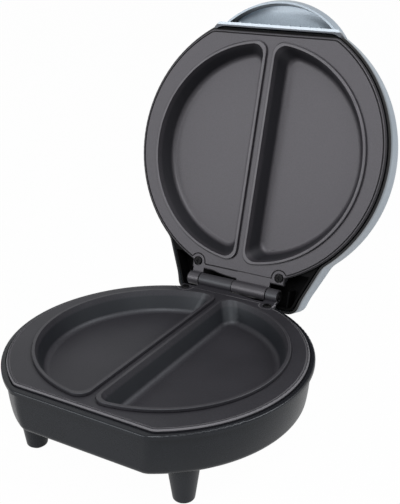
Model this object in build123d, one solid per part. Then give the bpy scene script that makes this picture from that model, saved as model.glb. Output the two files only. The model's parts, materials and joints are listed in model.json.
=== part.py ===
from build123d import *
import math
import os

# Electric omelette maker, standing on four feet with its lid open.
# It is built on the base's own axes: +X to the right, +Y towards the hinge, +Z up, the feet on z = 0
# and the centre of the round housing at x = y = 0. The lid is built closed and then swung open.
# Before export every piece is moved so that the middle of the whole part's underside is the origin.

# Driving dimensions, millimetres and degrees.

# Heights of the base
PLATE_FACE_Z = 64.0
HOUSING_BOTTOM_Z = 29.5
RIM_TOP_Z = 62.0

# Plan of the cooking plates, which the base and the lid are drawn round
PLATE_R = 106.5
PLATE_FRONT = 91.7

# Lid pose
OPEN_ANGLE = 106.6
HINGE_BEHIND = 6.0
HINGE_RISE = 2.5

# Base housing
HOUSING_MARGIN = 1.0
HOUSING_FRONT_MARGIN = 2.6
HOUSING_CORNER_R = 12.0
HOUSING_WALL = 2.5
HOUSING_BELLY_DEPTH = 12.0
HOUSING_TAPER = 2.4
HOUSING_TAPER_POWER = 1.8
HOUSING_FRONT_TAPER = 0.1
HOUSING_STEPS = 5
HOUSING_EDGE_R = 5.0
RIM_LIP = 3.0
RIM_LIP_DEPTH = 3.0
RIM_EDGE_R = 1.2
PLATE_ROOM = 1.0
HINGE_NOTCH_HALF = 46.0
HINGE_NOTCH_BEFORE = 16.5
HINGE_NOTCH_DEPTH = 4.5
VENT_COUNT = 6
VENT_PITCH = 9.0
VENT_WIDTH = 3.0
VENT_LENGTH = 44.0
VENT_X = 40.0

# Feet
FOOT_MARGIN = 17.1
FRONT_FOOT_ANGLE = 48.0
REAR_FOOT_ANGLE = 77.0
FOOT_TOP_R = 11.2
FOOT_TIP_R = 7.2
FOOT_TIP_EDGE_R = 2.0
FOOT_PAD_R = 5.0
FOOT_PAD_STANDS = 1.2
FOOT_PAD_SUNK = 2.5
FOOT_PAD_EDGE_R = 0.6
PAD_CLEARANCE = 0.1

# Cast cooking plate, the same casting below and above
PLATE_CORNER_R = 9.0
PLATE_THICKNESS = 3.5
PLATE_EDGE_R = 1.2
TAB_HALF = 42.0
TAB_MARGIN = 2.5
LINE_MARGIN = 2.0
LINE_REAR_MARGIN = 6.7
LINE_WIDTH = 1.1
LINE_DEPTH = 1.0
LINE_BEND_R = 1.2
LINE_SCREW_R = 6.4
POCKET_MARGIN = 17.7
POCKET_OFFSET = 3.5
POCKET_SIDE = 2.7
POCKET_CORNER_R = 9.0
POCKET_DEPTH = 14.5
POCKET_DRAFT = 6.1
POCKET_FLOOR_R = 4.5
CASTING_WALL = 3.0
BEAD_HEIGHT = 2.3
BEAD_WIDTH = 2.2
BEAD_OUTER_R = 0.6
BEAD_GROOVE = 0.8
BEAD_GROOVE_DEPTH = 0.5

# Hinge
BARREL_R = 5.5
BARREL_START = 0.3
BARREL_END = 30.0
EAR_START = 31.0
EAR_END = 40.5
PIN_R = 2.5
PIN_CLEARANCE = 0.05
PIN_HEAD_R = 4.2
PIN_HEAD_THICKNESS = 1.4
PIN_CLIP_THICKNESS = 0.8
PIN_END_PLAY = 0.3
PIN_NECK = 0.75
WEB_THICKNESS = 3.0

# Plate screws beside the hinge, and cast posts at the sides
PLATE_SCREW_X = 37.1
PLATE_SCREW_MARGIN = 8.2
PLATE_SCREW_HEAD_R = 3.3
PLATE_SCREW_HEAD = 1.9
PLATE_SCREW_SEAT_R = 4.0
PLATE_SCREW_SEAT = 1.4
PLATE_SCREW_R = 1.75
BASE_SCREW_LENGTH = 14.0
LID_SCREW_LENGTH = 27.0
SCREW_BOSS_R = 5.5
SCREW_BOSS_DEPTH = 6.0
POST_MARGIN = 9.5
POST_ANGLE = 20.0
POST_R = 4.0
POST_LENGTH = 18.0
POST_SCREW_LENGTH = 12.0
POST_SEAT = 4.0
POST_SEAT_WALL = 1.4
SCREW_HOLE_CLEARANCE = 0.45
PILOT_CLEARANCE = 0.05
SCREW_HEAD_ROUNDING = 0.33
CROSS_SIZE = 3.6
CROSS_WIDTH = 0.8
CROSS_DEPTH = 1.0
COLUMN_R = 4.6

# Heating element and what clamps it
ELEMENT_R = 3.2
ELEMENT_HALF_SPAN = 42.0
ELEMENT_BEND_Y = -30.0
ELEMENT_END_Y = 64.0
ELEMENT_PIN_R = 1.5
ELEMENT_PIN_LENGTH = 9.0
ELEMENT_CLEARANCE = 0.05
STRAP_ROWS = (36.0, -24.0)
STRAP_REACH = 9.0
STRAP_LENGTH = 26.0
STRAP_WIDTH = 8.0
STRAP_THICKNESS = 1.2
STRAP_CORNER_R = 2.0
STRAP_BOSS_R = 3.4
STRAP_SCREW_R = 1.3
STRAP_SCREW_LENGTH = 5.0
STRAP_SCREW_HEAD_R = 2.5
STRAP_SCREW_HEAD = 1.6
SENSOR_X = 24.0
SENSOR_Y = 6.0
SENSOR_LENGTH = 15.0
SENSOR_WIDTH = 9.0
SENSOR_TAG_THICKNESS = 0.8
FUSE_R = 2.9
FUSE_LENGTH = 13.0

# Reflectors
REFLECTOR_THICKNESS = 0.6
LOWER_REFLECTOR_MARGIN = 4.8
LOWER_REFLECTOR_RIM = 5.0
LOWER_REFLECTOR_GAP = 4.0
REFLECTOR_STUB_R = 4.0
REFLECTOR_STUB_X = 62.0
REFLECTOR_STUB_Y = 30.0
UPPER_REFLECTOR_MARGIN = 5.0
UPPER_REFLECTOR_OVERLAP = 2.2
UPPER_REFLECTOR_FRONT_OVERLAP = 2.6
UPPER_REFLECTOR_TOP = 27.6

# Terminal block, leads and cord gland
BLOCK_MARGIN = 15.5
BLOCK_LENGTH = 26.0
BLOCK_WIDTH = 9.0
BLOCK_HEIGHT = 11.0
BLOCK_RIB_WIDTH = 2.0
BLOCK_RIB_HEIGHT = 2.5
BLOCK_POLES = 3
LEAD_R = 1.2
LEAD_BEND_R = 6.0
LEAD_RISE = 8.0
GLAND_Z = 37.4
GLAND_BORE_R = 3.1
GLAND_BODY_R = 5.0
GLAND_NOSE_R = 4.3
GLAND_FLANGE_R = 6.6
GLAND_FLANGE = 1.5
GLAND_NOSE_LENGTH = 9.0
GLAND_CLEARANCE = 0.1
GLAND_EDGE_R = 0.5
GLAND_BOSS_R = 7.5
GLAND_BOSS_STANDS = 3.0
GLAND_COLLAR = 2.0

# Opening stop on the back of the housing
STOP_X = 24.0
STOP_WIDTH = 11.0
STOP_HEIGHT = 10.0
STOP_GAP = 0.3
STOP_EDGE_R = 1.0

# Lid shell; depths are measured into the lid from the upper plate's face
SHELL_MARGIN = 2.5
SHELL_FRONT_MARGIN = 5.3
SHELL_CORNER_R = 14.0
SHELL_WALL = 1.8
SHELL_RIM = 4.0
SHELL_RIM_EDGE_R = 0.6
DOME_R = 360.0
DOME_Y = 20.0
DOME_TOP = 47.0
SHOULDER_R = 9.0
HOOD_ROOT_X = 80.1
HOOD_ROOT_BEFORE = 52.5
HOOD_MID_X = 57.2
HOOD_END_X = 53.5
HOOD_END_BEHIND = 13.5
HOOD_ROOT_BEND_R = 16.0
HOOD_MID_BEND_R = 40.0
HOOD_CORNER_R = 9.6

# Handle
HANDLE_R = 71.5
HANDLE_CENTRE_BEHIND = 48.0
HANDLE_ROOT = 3.0
HANDLE_BAR = 1.5
HANDLE_RIM_BOTTOM = 9.0
HANDLE_RIM_DRAWN_IN = 2.4
HANDLE_BELLY = 16.0
HANDLE_TOP = 26.0
HANDLE_TOP_R = 180.0
HANDLE_TOP_BEHIND = 19.0
HANDLE_RIM = 1.8
HANDLE_EDGE_R = 1.0
SCOOP_R = 30.0
SCOOP_BEFORE = 15.0
SCOOP_DEPTH = -11.0
GRIP_RIBS = 9
GRIP_PITCH = 8.6
GRIP_WIDTH = 1.6
GRIP_LENGTH = 1.4
GRIP_START = 7.5
GRIP_END = 17.0

# Lid frame
FRAME_GAP = 1.2
FRAME_WALL = 1.5
FRAME_OVERLAP = 3.9
FRAME_FRONT_OVERLAP = 1.3
FRAME_LEDGE_WIDTH = 11.6
FRAME_LEDGE_FRONT_WIDTH = 3.0
FRAME_START = 3.8
FRAME_LEDGE = 1.5
HOOD_RIB_X = 45.5
HOOD_RIB_WIDTH = 1.4
HOOD_RIB_BEFORE = 4.5
HOOD_RIB_START = 5.0
HOOD_LINING_BEFORE = 19.5

# Indicator lamps on the lid
LAMP_Y = -50.0
LAMP_X = 9.0
LENS_R = 3.8
LENS_STANDS = 1.3
LENS_EDGE_R = 1.0
LENS_FLANGE_R = 5.2
LENS_FLANGE = 1.1
LENS_CLEARANCE = 0.1
LENS_SEAT = 0.35
LAMP_R = 2.4
LAMP_HEIGHT = 4.0
BOARD_DROP = 7.5
BOARD_LENGTH = 48.0
BOARD_WIDTH = 12.0
BOARD_THICKNESS = 1.5
BOARD_SCREW_X = 19.5
BOARD_BOSS_R = 2.8
BOARD_SCREW_R = 1.1
BOARD_SCREW_LENGTH = 6.0
BOARD_SCREW_HEAD_R = 2.2
BOARD_SCREW_HEAD = 1.3

# Derived places
HINGE_Y = PLATE_R + HINGE_BEHIND
HINGE_Z = PLATE_FACE_Z + HINGE_RISE
LID_FACE_Z = HINGE_Z + HINGE_RISE
FLOOR_Z = HOUSING_BOTTOM_Z + HOUSING_WALL
HOUSING_R = PLATE_R + HOUSING_MARGIN
HOUSING_FRONT = PLATE_FRONT + HOUSING_FRONT_MARGIN
HINGE_NOTCH_Y = HINGE_Y - HINGE_NOTCH_BEFORE
TAB_REAR = PLATE_R - TAB_MARGIN
LINE_REAR = PLATE_R - LINE_REAR_MARGIN
PLATE_SCREW_Y = PLATE_R - PLATE_SCREW_MARGIN
POCKET_R = PLATE_R - POCKET_MARGIN
POCKET_UNDER = POCKET_DEPTH + CASTING_WALL
CLAMP_HEIGHT = 2 * (ELEMENT_R + ELEMENT_CLEARANCE)
STRAP_UNDER = POCKET_UNDER + CLAMP_HEIGHT
POST_X = (PLATE_R - POST_MARGIN) * math.cos(math.radians(POST_ANGLE))
POST_Y = -(PLATE_R - POST_MARGIN) * math.sin(math.radians(POST_ANGLE))
BLOCK_Y = HOUSING_R - BLOCK_MARGIN
GLAND_BOSS_Y = HOUSING_R + GLAND_BOSS_STANDS
GLAND_COLLAR_Y = HOUSING_R - HOUSING_TAPER - HOUSING_WALL - GLAND_COLLAR
SHELL_R = PLATE_R + SHELL_MARGIN
SHELL_FRONT = PLATE_FRONT + SHELL_FRONT_MARGIN
HOOD_ROOT_Y = HINGE_Y - HOOD_ROOT_BEFORE
HOOD_END_Y = HINGE_Y + HOOD_END_BEHIND
BAR_FRONT = SHELL_FRONT + HANDLE_BAR
FRAME_DEPTH = POST_LENGTH
FRAME_INNER_R = PLATE_R - FRAME_OVERLAP
FRAME_FRONT_INNER = PLATE_FRONT - FRAME_FRONT_OVERLAP
FRAME_LEDGE_R = FRAME_INNER_R - FRAME_LEDGE_WIDTH
FRAME_LEDGE_FRONT = FRAME_FRONT_INNER - FRAME_LEDGE_FRONT_WIDTH
REACH = 400.0
NEARNESS = 1.0


# Shared shapes

def block(x0, x1, y0, y1, z0, z1):
    """An upright box between two corners."""
    return Pos(x0, y0, z0) * Box(x1 - x0, y1 - y0, z1 - z0, align=(Align.MIN, Align.MIN, Align.MIN))


def disc(x, y, z0, z1, radius, top_radius=None):
    """An upright cylinder, or a cone when a top radius is given."""
    align = (Align.CENTER, Align.CENTER, Align.MIN)
    if top_radius is None:
        return Pos(x, y, z0) * Cylinder(radius, z1 - z0, align=align)
    return Pos(x, y, z0) * Cone(radius, top_radius, z1 - z0, align=align)


def rod_x(x0, x1, y, z, radius):
    """A cylinder along X."""
    align = (Align.CENTER, Align.CENTER, Align.MIN)
    return Pos(x0, y, z) * Rot(0, 90, 0) * Cylinder(radius, x1 - x0, align=align)


def rod_y(y0, y1, x, z, radius):
    """A cylinder along Y."""
    align = (Align.CENTER, Align.CENTER, Align.MIN)
    return Pos(x, y0, z) * Rot(-90, 0, 0) * Cylinder(radius, y1 - y0, align=align)


def flat_front_disc(radius, front, corner):
    """A disc cut flat at y = -front, its two corners rounded; the circle's seam is at the back."""
    keep = Pos(0, REACH / 2 - front) * Rectangle(REACH, REACH)
    outline = (Rot(0, 0, 90) * Circle(radius)) & keep
    corners = outline.vertices().sort_by(Axis.Y)[0:2]
    return fillet(corners, corner)


def prism(outline, z0, z1):
    """A flat outline raised from z0 to z1."""
    return Pos(0, 0, z0) * extrude(outline, z1 - z0)


def mirrored(shape):
    """The same shape on the other side of x = 0."""
    return mirror(shape, Plane.YZ)


def screw(x, y, seat_z, radius, length, head_radius, head_height, up=True):
    """A cross-head screw whose head lies above its seat, or below it when up is False."""
    align = (Align.CENTER, Align.CENTER, Align.MIN)
    head = Cylinder(head_radius, head_height, align=align)
    head = fillet(head.edges().group_by(Axis.Z)[-1], head_height * SCREW_HEAD_ROUNDING)
    slot = Box(CROSS_SIZE, CROSS_WIDTH, CROSS_DEPTH) + Box(CROSS_WIDTH, CROSS_SIZE, CROSS_DEPTH)
    head -= Pos(0, 0, head_height - CROSS_DEPTH / 2) * slot
    body = head + Pos(0, 0, -length) * Cylinder(radius, length, align=align)
    turn = Rot(0, 0, 45) if up else Rot(180, 0, 0)
    return Pos(x, y, seat_z) * turn * body


# Cast cooking plate, in its own frame: cooking face at z = 0, pockets below, hinge towards +Y

def half_moon(inset, corner):
    """The outline of the right-hand pocket, drawn in by an inset all round."""
    radius = POCKET_R - inset
    side = POCKET_SIDE + inset
    circle = Pos(POCKET_OFFSET, POCKET_OFFSET) * Rot(0, 0, 180) * Circle(radius)
    keep = Pos(side + REACH / 2, 0) * Rectangle(REACH, REACH)
    outline = circle & keep
    return fillet(outline.vertices().group_by(Axis.X)[0], corner)


def pocket_shape(top_inset, top_z, floor_inset, floor_z, floor_radius):
    """A half-moon that tapers from its top outline to its floor, with a rounded floor edge."""
    top = Pos(0, 0, top_z) * half_moon(top_inset, POCKET_CORNER_R)
    floor = Pos(0, 0, floor_z) * half_moon(floor_inset, POCKET_CORNER_R)
    shape = loft([floor.face(), top.face()])
    return fillet(shape.edges().group_by(Axis.Z)[0], floor_radius)


def plate_line(offset_by):
    """The line round the cooking face: it bends inward round the two screws."""
    face = flat_front_disc(PLATE_R - LINE_MARGIN, PLATE_FRONT - LINE_MARGIN, PLATE_CORNER_R)
    face &= Pos(0, LINE_REAR - REACH / 2) * Rectangle(REACH, REACH)
    for side in (-1, 1):
        face -= Pos(side * PLATE_SCREW_X, PLATE_SCREW_Y) * Circle(LINE_SCREW_R)
    ends = face.vertices().filter_by(lambda v: v.Y > PLATE_SCREW_Y - 2 * LINE_SCREW_R)
    face = fillet(ends, LINE_BEND_R)
    return offset(face, offset_by)


def plate_bead():
    """The raised bead round the right-hand pocket."""
    bead = prism(half_moon(0, POCKET_CORNER_R), 0, BEAD_HEIGHT)
    return fillet(bead.edges().group_by(Axis.Z)[-1], BEAD_OUTER_R)


def hinge_arm(x0, x1):
    """A barrel or an ear on the hinge line, with the web that joins it to the plate."""
    tube = rod_x(x0, x1, HINGE_Y, HINGE_RISE, BARREL_R)
    web_z = HINGE_RISE - BARREL_R
    web = block(x0, x1, LINE_REAR, HINGE_Y, web_z, web_z + WEB_THICKNESS)
    return tube + web


def clamp_points():
    """The middle of each strap over the element's legs."""
    return [(side * ELEMENT_HALF_SPAN, y) for side in (-1, 1) for y in STRAP_ROWS]


def strap_bosses(x, y):
    """The two cast bosses that one strap is screwed to."""
    bosses = []
    for side in (-1, 1):
        centre = x + side * STRAP_REACH
        boss = disc(centre, y, -STRAP_UNDER, -POCKET_DEPTH - CASTING_WALL / 2, STRAP_BOSS_R)
        pilot_r = STRAP_SCREW_R + PILOT_CLEARANCE
        pilot = disc(centre, y, -STRAP_UNDER, -STRAP_UNDER + STRAP_SCREW_LENGTH, pilot_r)
        bosses.append(boss - pilot)
    return bosses


def cooking_plate():
    """The whole casting."""
    outline = flat_front_disc(PLATE_R, PLATE_FRONT, PLATE_CORNER_R)
    tab = Pos(0, TAB_REAR / 2) * Rectangle(2 * TAB_HALF, TAB_REAR)
    plate = prism(outline + tab, -PLATE_THICKNESS, 0)
    plate = fillet(plate.edges().group_by(Axis.Z)[-1], PLATE_EDGE_R)
    groove = prism(plate_line(LINE_WIDTH / 2) - plate_line(-LINE_WIDTH / 2), -LINE_DEPTH, 0)
    plate -= groove
    plate += hinge_arm(-BARREL_END, -BARREL_START)
    plate += hinge_arm(EAR_START, EAR_END)
    plate -= rod_x(-BARREL_END, EAR_END, HINGE_Y, HINGE_RISE, PIN_R + PIN_CLEARANCE)

    foot = half_moon(BEAD_WIDTH / 2, POCKET_CORNER_R)
    ring = offset(half_moon(0, POCKET_CORNER_R), BEAD_GROOVE) - foot
    floor_inset = BEAD_WIDTH + POCKET_DRAFT
    shell_top = BEAD_WIDTH / 2
    shell = pocket_shape(shell_top, -BEAD_GROOVE_DEPTH, floor_inset - CASTING_WALL,
                         -POCKET_UNDER, POCKET_FLOOR_R + CASTING_WALL)
    cavity = pocket_shape(BEAD_WIDTH, BEAD_HEIGHT, floor_inset, -POCKET_DEPTH, POCKET_FLOOR_R)
    for turn in (lambda shape: shape, mirrored):
        plate -= turn(prism(ring, -BEAD_GROOVE_DEPTH, 0))
        plate += turn(shell)
        plate += turn(plate_bead())
        plate -= turn(cavity)

    for side in (-1, 1):
        x = side * PLATE_SCREW_X
        plate += disc(x, PLATE_SCREW_Y, -SCREW_BOSS_DEPTH, -PLATE_THICKNESS, SCREW_BOSS_R)
        hole_r = PLATE_SCREW_R + SCREW_HOLE_CLEARANCE
        plate -= disc(x, PLATE_SCREW_Y, -SCREW_BOSS_DEPTH, 0, hole_r)
        plate -= disc(x, PLATE_SCREW_Y, -PLATE_SCREW_SEAT, 0, PLATE_SCREW_SEAT_R)
        plate += disc(side * POST_X, POST_Y, -POST_LENGTH, -PLATE_THICKNESS, POST_R)
        pilot_r = PLATE_SCREW_R + PILOT_CLEARANCE
        plate -= disc(side * POST_X, POST_Y, -POST_LENGTH, -POST_LENGTH + POST_SCREW_LENGTH, pilot_r)

    for point in clamp_points() + [(SENSOR_X, SENSOR_Y)]:
        for boss in strap_bosses(*point):
            plate += boss
    return plate


def heating_element():
    """A U-shaped tubular heater under both pockets, with a terminal pin at each end."""
    z = -POCKET_UNDER - ELEMENT_R - ELEMENT_CLEARANCE
    span = ELEMENT_HALF_SPAN
    right_end = (span, ELEMENT_END_Y, z)
    right_bend = (span, ELEMENT_BEND_Y, z)
    left_bend = (-span, ELEMENT_BEND_Y, z)
    path = Line(right_end, right_bend)
    path += ThreePointArc(right_bend, (0, ELEMENT_BEND_Y - span, z), left_bend)
    path += Line(left_bend, (-span, ELEMENT_END_Y, z))
    start = Plane(right_end, z_dir=(0, -1, 0))
    tube = sweep(start * Circle(ELEMENT_R), path)
    for side in (-1, 1):
        tube += rod_y(ELEMENT_END_Y, ELEMENT_END_Y + ELEMENT_PIN_LENGTH, side * span, z, ELEMENT_PIN_R)
    return tube


def strap(x, y):
    """A flat strap across two cast bosses, with a hole over each."""
    half = STRAP_LENGTH / 2
    width = STRAP_WIDTH / 2
    plate = block(x - half, x + half, y - width, y + width, -STRAP_UNDER - STRAP_THICKNESS, -STRAP_UNDER)
    plate = fillet(plate.edges().filter_by(Axis.Z), STRAP_CORNER_R)
    for side in (-1, 1):
        centre = x + side * STRAP_REACH
        hole_r = STRAP_SCREW_R + PILOT_CLEARANCE
        plate -= disc(centre, y, -STRAP_UNDER - STRAP_THICKNESS, -STRAP_UNDER, hole_r)
    return plate


def strap_screws(points):
    """The screws that hold the straps at these points."""
    screws = []
    for x, y in points:
        for side in (-1, 1):
            seat = -STRAP_UNDER - STRAP_THICKNESS
            length = STRAP_SCREW_LENGTH + STRAP_THICKNESS - PILOT_CLEARANCE
            screws.append(screw(x + side * STRAP_REACH, y, seat, STRAP_SCREW_R, length,
                                STRAP_SCREW_HEAD_R, STRAP_SCREW_HEAD, up=False))
    return screws


def thermostat():
    """A flat bimetal thermostat held against the pocket's underside, with two tags."""
    half_x = SENSOR_WIDTH / 2
    half_y = SENSOR_LENGTH / 2
    case = block(SENSOR_X - half_x, SENSOR_X + half_x, SENSOR_Y - half_y, SENSOR_Y + half_y,
                 -STRAP_UNDER, -POCKET_UNDER)
    tag_z = -POCKET_UNDER - CLAMP_HEIGHT / 2
    tag = half_x / 2
    tags_end = half_y + half_x
    case += block(SENSOR_X - tag, SENSOR_X + tag, SENSOR_Y - tags_end, SENSOR_Y + tags_end,
                  tag_z - SENSOR_TAG_THICKNESS / 2, tag_z + SENSOR_TAG_THICKNESS / 2)
    return case


def thermal_fuse():
    """A thermal fuse in its sleeve under its strap, with two wire ends."""
    z = -STRAP_UNDER + FUSE_R
    half = FUSE_LENGTH / 2
    body = rod_y(SENSOR_Y - half, SENSOR_Y + half, SENSOR_X, z, FUSE_R)
    return body + rod_y(SENSOR_Y - 2 * half, SENSOR_Y + 2 * half, SENSOR_X, z, LEAD_R / 2)


# Base

def housing_body(inset, bottom_z, top_z, edge_radius):
    """The tub's outer shape, or its hollow when inset: straight at the top, drawn in below the belly."""
    belly_z = PLATE_FACE_Z - HOUSING_BELLY_DEPTH
    sections = []
    for step in range(HOUSING_STEPS + 1):
        z = bottom_z + (belly_z - bottom_z) * step / HOUSING_STEPS
        share = (belly_z - z) / (belly_z - HOUSING_BOTTOM_Z)
        shrink = HOUSING_TAPER * share ** HOUSING_TAPER_POWER
        radius = HOUSING_R - inset - shrink
        front = HOUSING_FRONT - inset - shrink * HOUSING_FRONT_TAPER
        sections.append((Pos(0, 0, z) * flat_front_disc(radius, front, HOUSING_CORNER_R)).face())
    lower = loft(sections)
    lower = fillet(lower.edges().group_by(Axis.Z)[0], edge_radius)
    straight = flat_front_disc(HOUSING_R - inset, HOUSING_FRONT - inset, HOUSING_CORNER_R)
    return lower + prism(straight, belly_z, top_z)


def foot_points():
    """The middle of each foot, by name."""
    radius = HOUSING_R - FOOT_MARGIN
    front = math.radians(FRONT_FOOT_ANGLE)
    rear = math.radians(REAR_FOOT_ANGLE)
    return {
        "front_left": (-radius * math.cos(front), -radius * math.sin(front)),
        "front_right": (radius * math.cos(front), -radius * math.sin(front)),
        "rear_left": (-radius * math.cos(rear), radius * math.sin(rear)),
        "rear_right": (radius * math.cos(rear), radius * math.sin(rear)),
    }


def stub_points():
    """Where the lower reflector rests."""
    across = (-REFLECTOR_STUB_X, REFLECTOR_STUB_X)
    along = (-REFLECTOR_STUB_Y, REFLECTOR_STUB_Y)
    return [(x, y) for x in across for y in along]


def hinge_notch():
    """The gap in the rim that the hinge passes through, its ends in line with the housing's centre."""
    slope = HINGE_NOTCH_HALF / math.sqrt(HOUSING_R ** 2 - HINGE_NOTCH_HALF ** 2)
    near = (HINGE_NOTCH_Y * slope, HINGE_NOTCH_Y)
    far = (REACH * slope, REACH)
    corners = [near, far, (-far[0], far[1]), (-near[0], near[1])]
    outline = make_face(Polyline(corners, close=True))
    return prism(outline, RIM_TOP_Z - HINGE_NOTCH_DEPTH, RIM_TOP_Z + HINGE_NOTCH_DEPTH)


def base_housing():
    """The black tub that carries the lower plate on the ledge inside its overhanging lip."""
    tub = housing_body(0, HOUSING_BOTTOM_Z, RIM_TOP_Z, HOUSING_EDGE_R)
    lip = flat_front_disc(HOUSING_R + RIM_LIP, HOUSING_FRONT + RIM_LIP, HOUSING_CORNER_R)
    tub += prism(lip, RIM_TOP_Z - RIM_LIP_DEPTH, RIM_TOP_Z)
    tub = fillet(tub.edges().group_by(Axis.Z)[-1], RIM_EDGE_R)
    tub += rod_y(HINGE_NOTCH_Y, GLAND_BOSS_Y, 0, GLAND_Z, GLAND_BOSS_R)
    for side in (-1, 1):
        tub += stop_pad(side * STOP_X)
    tub -= housing_body(HOUSING_WALL, FLOOR_Z, RIM_TOP_Z + REACH, HOUSING_EDGE_R - HOUSING_WALL)
    tub -= prism(flat_front_disc(PLATE_R + PLATE_ROOM, PLATE_FRONT + PLATE_ROOM, PLATE_CORNER_R),
                 PLATE_FACE_Z - PLATE_THICKNESS, RIM_TOP_Z)
    tub -= hinge_notch()

    hole_r = PLATE_SCREW_R + SCREW_HOLE_CLEARANCE
    pilot_r = PLATE_SCREW_R + PILOT_CLEARANCE
    boss_top = PLATE_FACE_Z - SCREW_BOSS_DEPTH
    post_end = PLATE_FACE_Z - POST_LENGTH
    seat_z = post_end - POST_SEAT
    for side in (-1, 1):
        x = side * PLATE_SCREW_X
        tub += disc(x, PLATE_SCREW_Y, FLOOR_Z, boss_top, COLUMN_R)
        tub -= disc(x, PLATE_SCREW_Y, boss_top - BASE_SCREW_LENGTH, boss_top, pilot_r)
        x = side * POST_X
        tub += disc(x, POST_Y, FLOOR_Z, post_end, COLUMN_R + POST_SEAT_WALL)
        tub -= disc(x, POST_Y, HOUSING_BOTTOM_Z, seat_z, PLATE_SCREW_SEAT_R)
        tub -= disc(x, POST_Y, seat_z, post_end, hole_r)
    for x, y in foot_points().values():
        tub -= disc(x, y, HOUSING_BOTTOM_Z, FLOOR_Z, hole_r)
    for x, y in stub_points():
        tub += disc(x, y, FLOOR_Z, FLOOR_Z + LOWER_REFLECTOR_GAP, REFLECTOR_STUB_R)
        tub -= disc(x, y, HOUSING_BOTTOM_Z + HOUSING_WALL / 2, FLOOR_Z + LOWER_REFLECTOR_GAP,
                    STRAP_SCREW_R + PILOT_CLEARANCE)
    for row in range(VENT_COUNT):
        y = (row - (VENT_COUNT - 1) / 2) * VENT_PITCH
        for side in (-1, 1):
            slot = Pos(side * VENT_X, y) * SlotOverall(VENT_LENGTH, VENT_WIDTH)
            tub -= prism(slot, HOUSING_BOTTOM_Z, FLOOR_Z)
    return tub - rod_y(GLAND_COLLAR_Y, GLAND_BOSS_Y, 0, GLAND_Z, GLAND_BODY_R + GLAND_CLEARANCE)


def stop_pad(x):
    """A pad on the back of the housing that the open lid's hood comes to rest against."""
    angle = math.radians(OPEN_ANGLE)
    behind = HOOD_END_Y - HINGE_Y
    above = LID_FACE_Z + SHELL_RIM - HINGE_Z
    hood_y = HINGE_Y + behind * math.cos(angle) + above * math.sin(angle)
    hood_z = HINGE_Z - behind * math.sin(angle) + above * math.cos(angle)
    pad = block(x - STOP_WIDTH / 2, x + STOP_WIDTH / 2, HINGE_NOTCH_Y, hood_y - STOP_GAP,
                hood_z - STOP_HEIGHT / 2, hood_z + STOP_HEIGHT / 2)
    return fillet(pad.faces().sort_by(Axis.Y)[-1].edges(), STOP_EDGE_R)


def foot(x, y):
    """A tapered foot with a recess for its pad and a pilot hole for its screw."""
    body = disc(x, y, FOOT_PAD_STANDS, HOUSING_BOTTOM_Z, FOOT_TIP_R, FOOT_TOP_R)
    body = fillet(body.edges().group_by(Axis.Z)[0], FOOT_TIP_EDGE_R)
    body -= disc(x, y, FOOT_PAD_STANDS, FOOT_PAD_STANDS + FOOT_PAD_SUNK, FOOT_PAD_R + PAD_CLEARANCE)
    pilot_r = PLATE_SCREW_R + PILOT_CLEARANCE
    return body - disc(x, y, HOUSING_BOTTOM_Z - BASE_SCREW_LENGTH, HOUSING_BOTTOM_Z, pilot_r)


def foot_pad(x, y):
    """A rubber pad pressed into the foot."""
    pad = disc(x, y, 0, FOOT_PAD_STANDS + FOOT_PAD_SUNK, FOOT_PAD_R)
    return fillet(pad.edges().group_by(Axis.Z)[0], FOOT_PAD_EDGE_R)


def lower_reflector():
    """A sheet-metal dish under the lower heater."""
    z = FLOOR_Z + LOWER_REFLECTOR_GAP
    radius = POCKET_R - LOWER_REFLECTOR_MARGIN
    dish = disc(0, 0, z, z + LOWER_REFLECTOR_RIM, radius)
    dish = fillet(dish.edges().group_by(Axis.Z)[0], LOWER_REFLECTOR_RIM / 2)
    inner = disc(0, 0, z + REFLECTOR_THICKNESS, z + LOWER_REFLECTOR_RIM, radius - REFLECTOR_THICKNESS)
    inner = fillet(inner.edges().group_by(Axis.Z)[0], LOWER_REFLECTOR_RIM / 2 - REFLECTOR_THICKNESS)
    dish -= inner
    for x, y in stub_points():
        dish -= disc(x, y, z, z + REFLECTOR_THICKNESS, STRAP_SCREW_R + PILOT_CLEARANCE)
    return dish


def terminal_block():
    """A three-pole terminal block on the floor in front of the cord gland."""
    front_y = BLOCK_Y - BLOCK_WIDTH / 2
    back_y = BLOCK_Y + BLOCK_WIDTH / 2
    top_z = FLOOR_Z + BLOCK_HEIGHT
    body = block(-BLOCK_LENGTH / 2, BLOCK_LENGTH / 2, front_y, back_y, FLOOR_Z, top_z)
    pitch = BLOCK_LENGTH / BLOCK_POLES
    for pole in range(BLOCK_POLES):
        x = (pole - (BLOCK_POLES - 1) / 2) * pitch
        body -= disc(x, BLOCK_Y, top_z - BLOCK_HEIGHT / 2, top_z, BLOCK_RIB_WIDTH)
    for rib in range(BLOCK_POLES - 1):
        x = (rib - (BLOCK_POLES - 2) / 2) * pitch
        body += block(x - BLOCK_RIB_WIDTH / 2, x + BLOCK_RIB_WIDTH / 2, front_y, back_y,
                      top_z, top_z + BLOCK_RIB_HEIGHT)
    return body


def element_lead(side):
    """A lead from one end of the lower heater down to the terminal block."""
    pin_y = ELEMENT_END_Y + ELEMENT_PIN_LENGTH
    pin_z = PLATE_FACE_Z - POCKET_UNDER - ELEMENT_R - ELEMENT_CLEARANCE
    end_x = BLOCK_LENGTH / 2
    points = [
        (side * ELEMENT_HALF_SPAN, pin_y, pin_z),
        (side * ELEMENT_HALF_SPAN, BLOCK_Y, pin_z),
        (side * (end_x + LEAD_RISE), BLOCK_Y, FLOOR_Z + BLOCK_HEIGHT / 2),
        (side * end_x, BLOCK_Y, FLOOR_Z + BLOCK_HEIGHT / 2),
    ]
    path = FilletPolyline(*points, radius=[LEAD_BEND_R, LEAD_BEND_R / 2])
    return sweep(Plane(points[0], z_dir=(0, 1, 0)) * Circle(LEAD_R), path)


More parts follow.
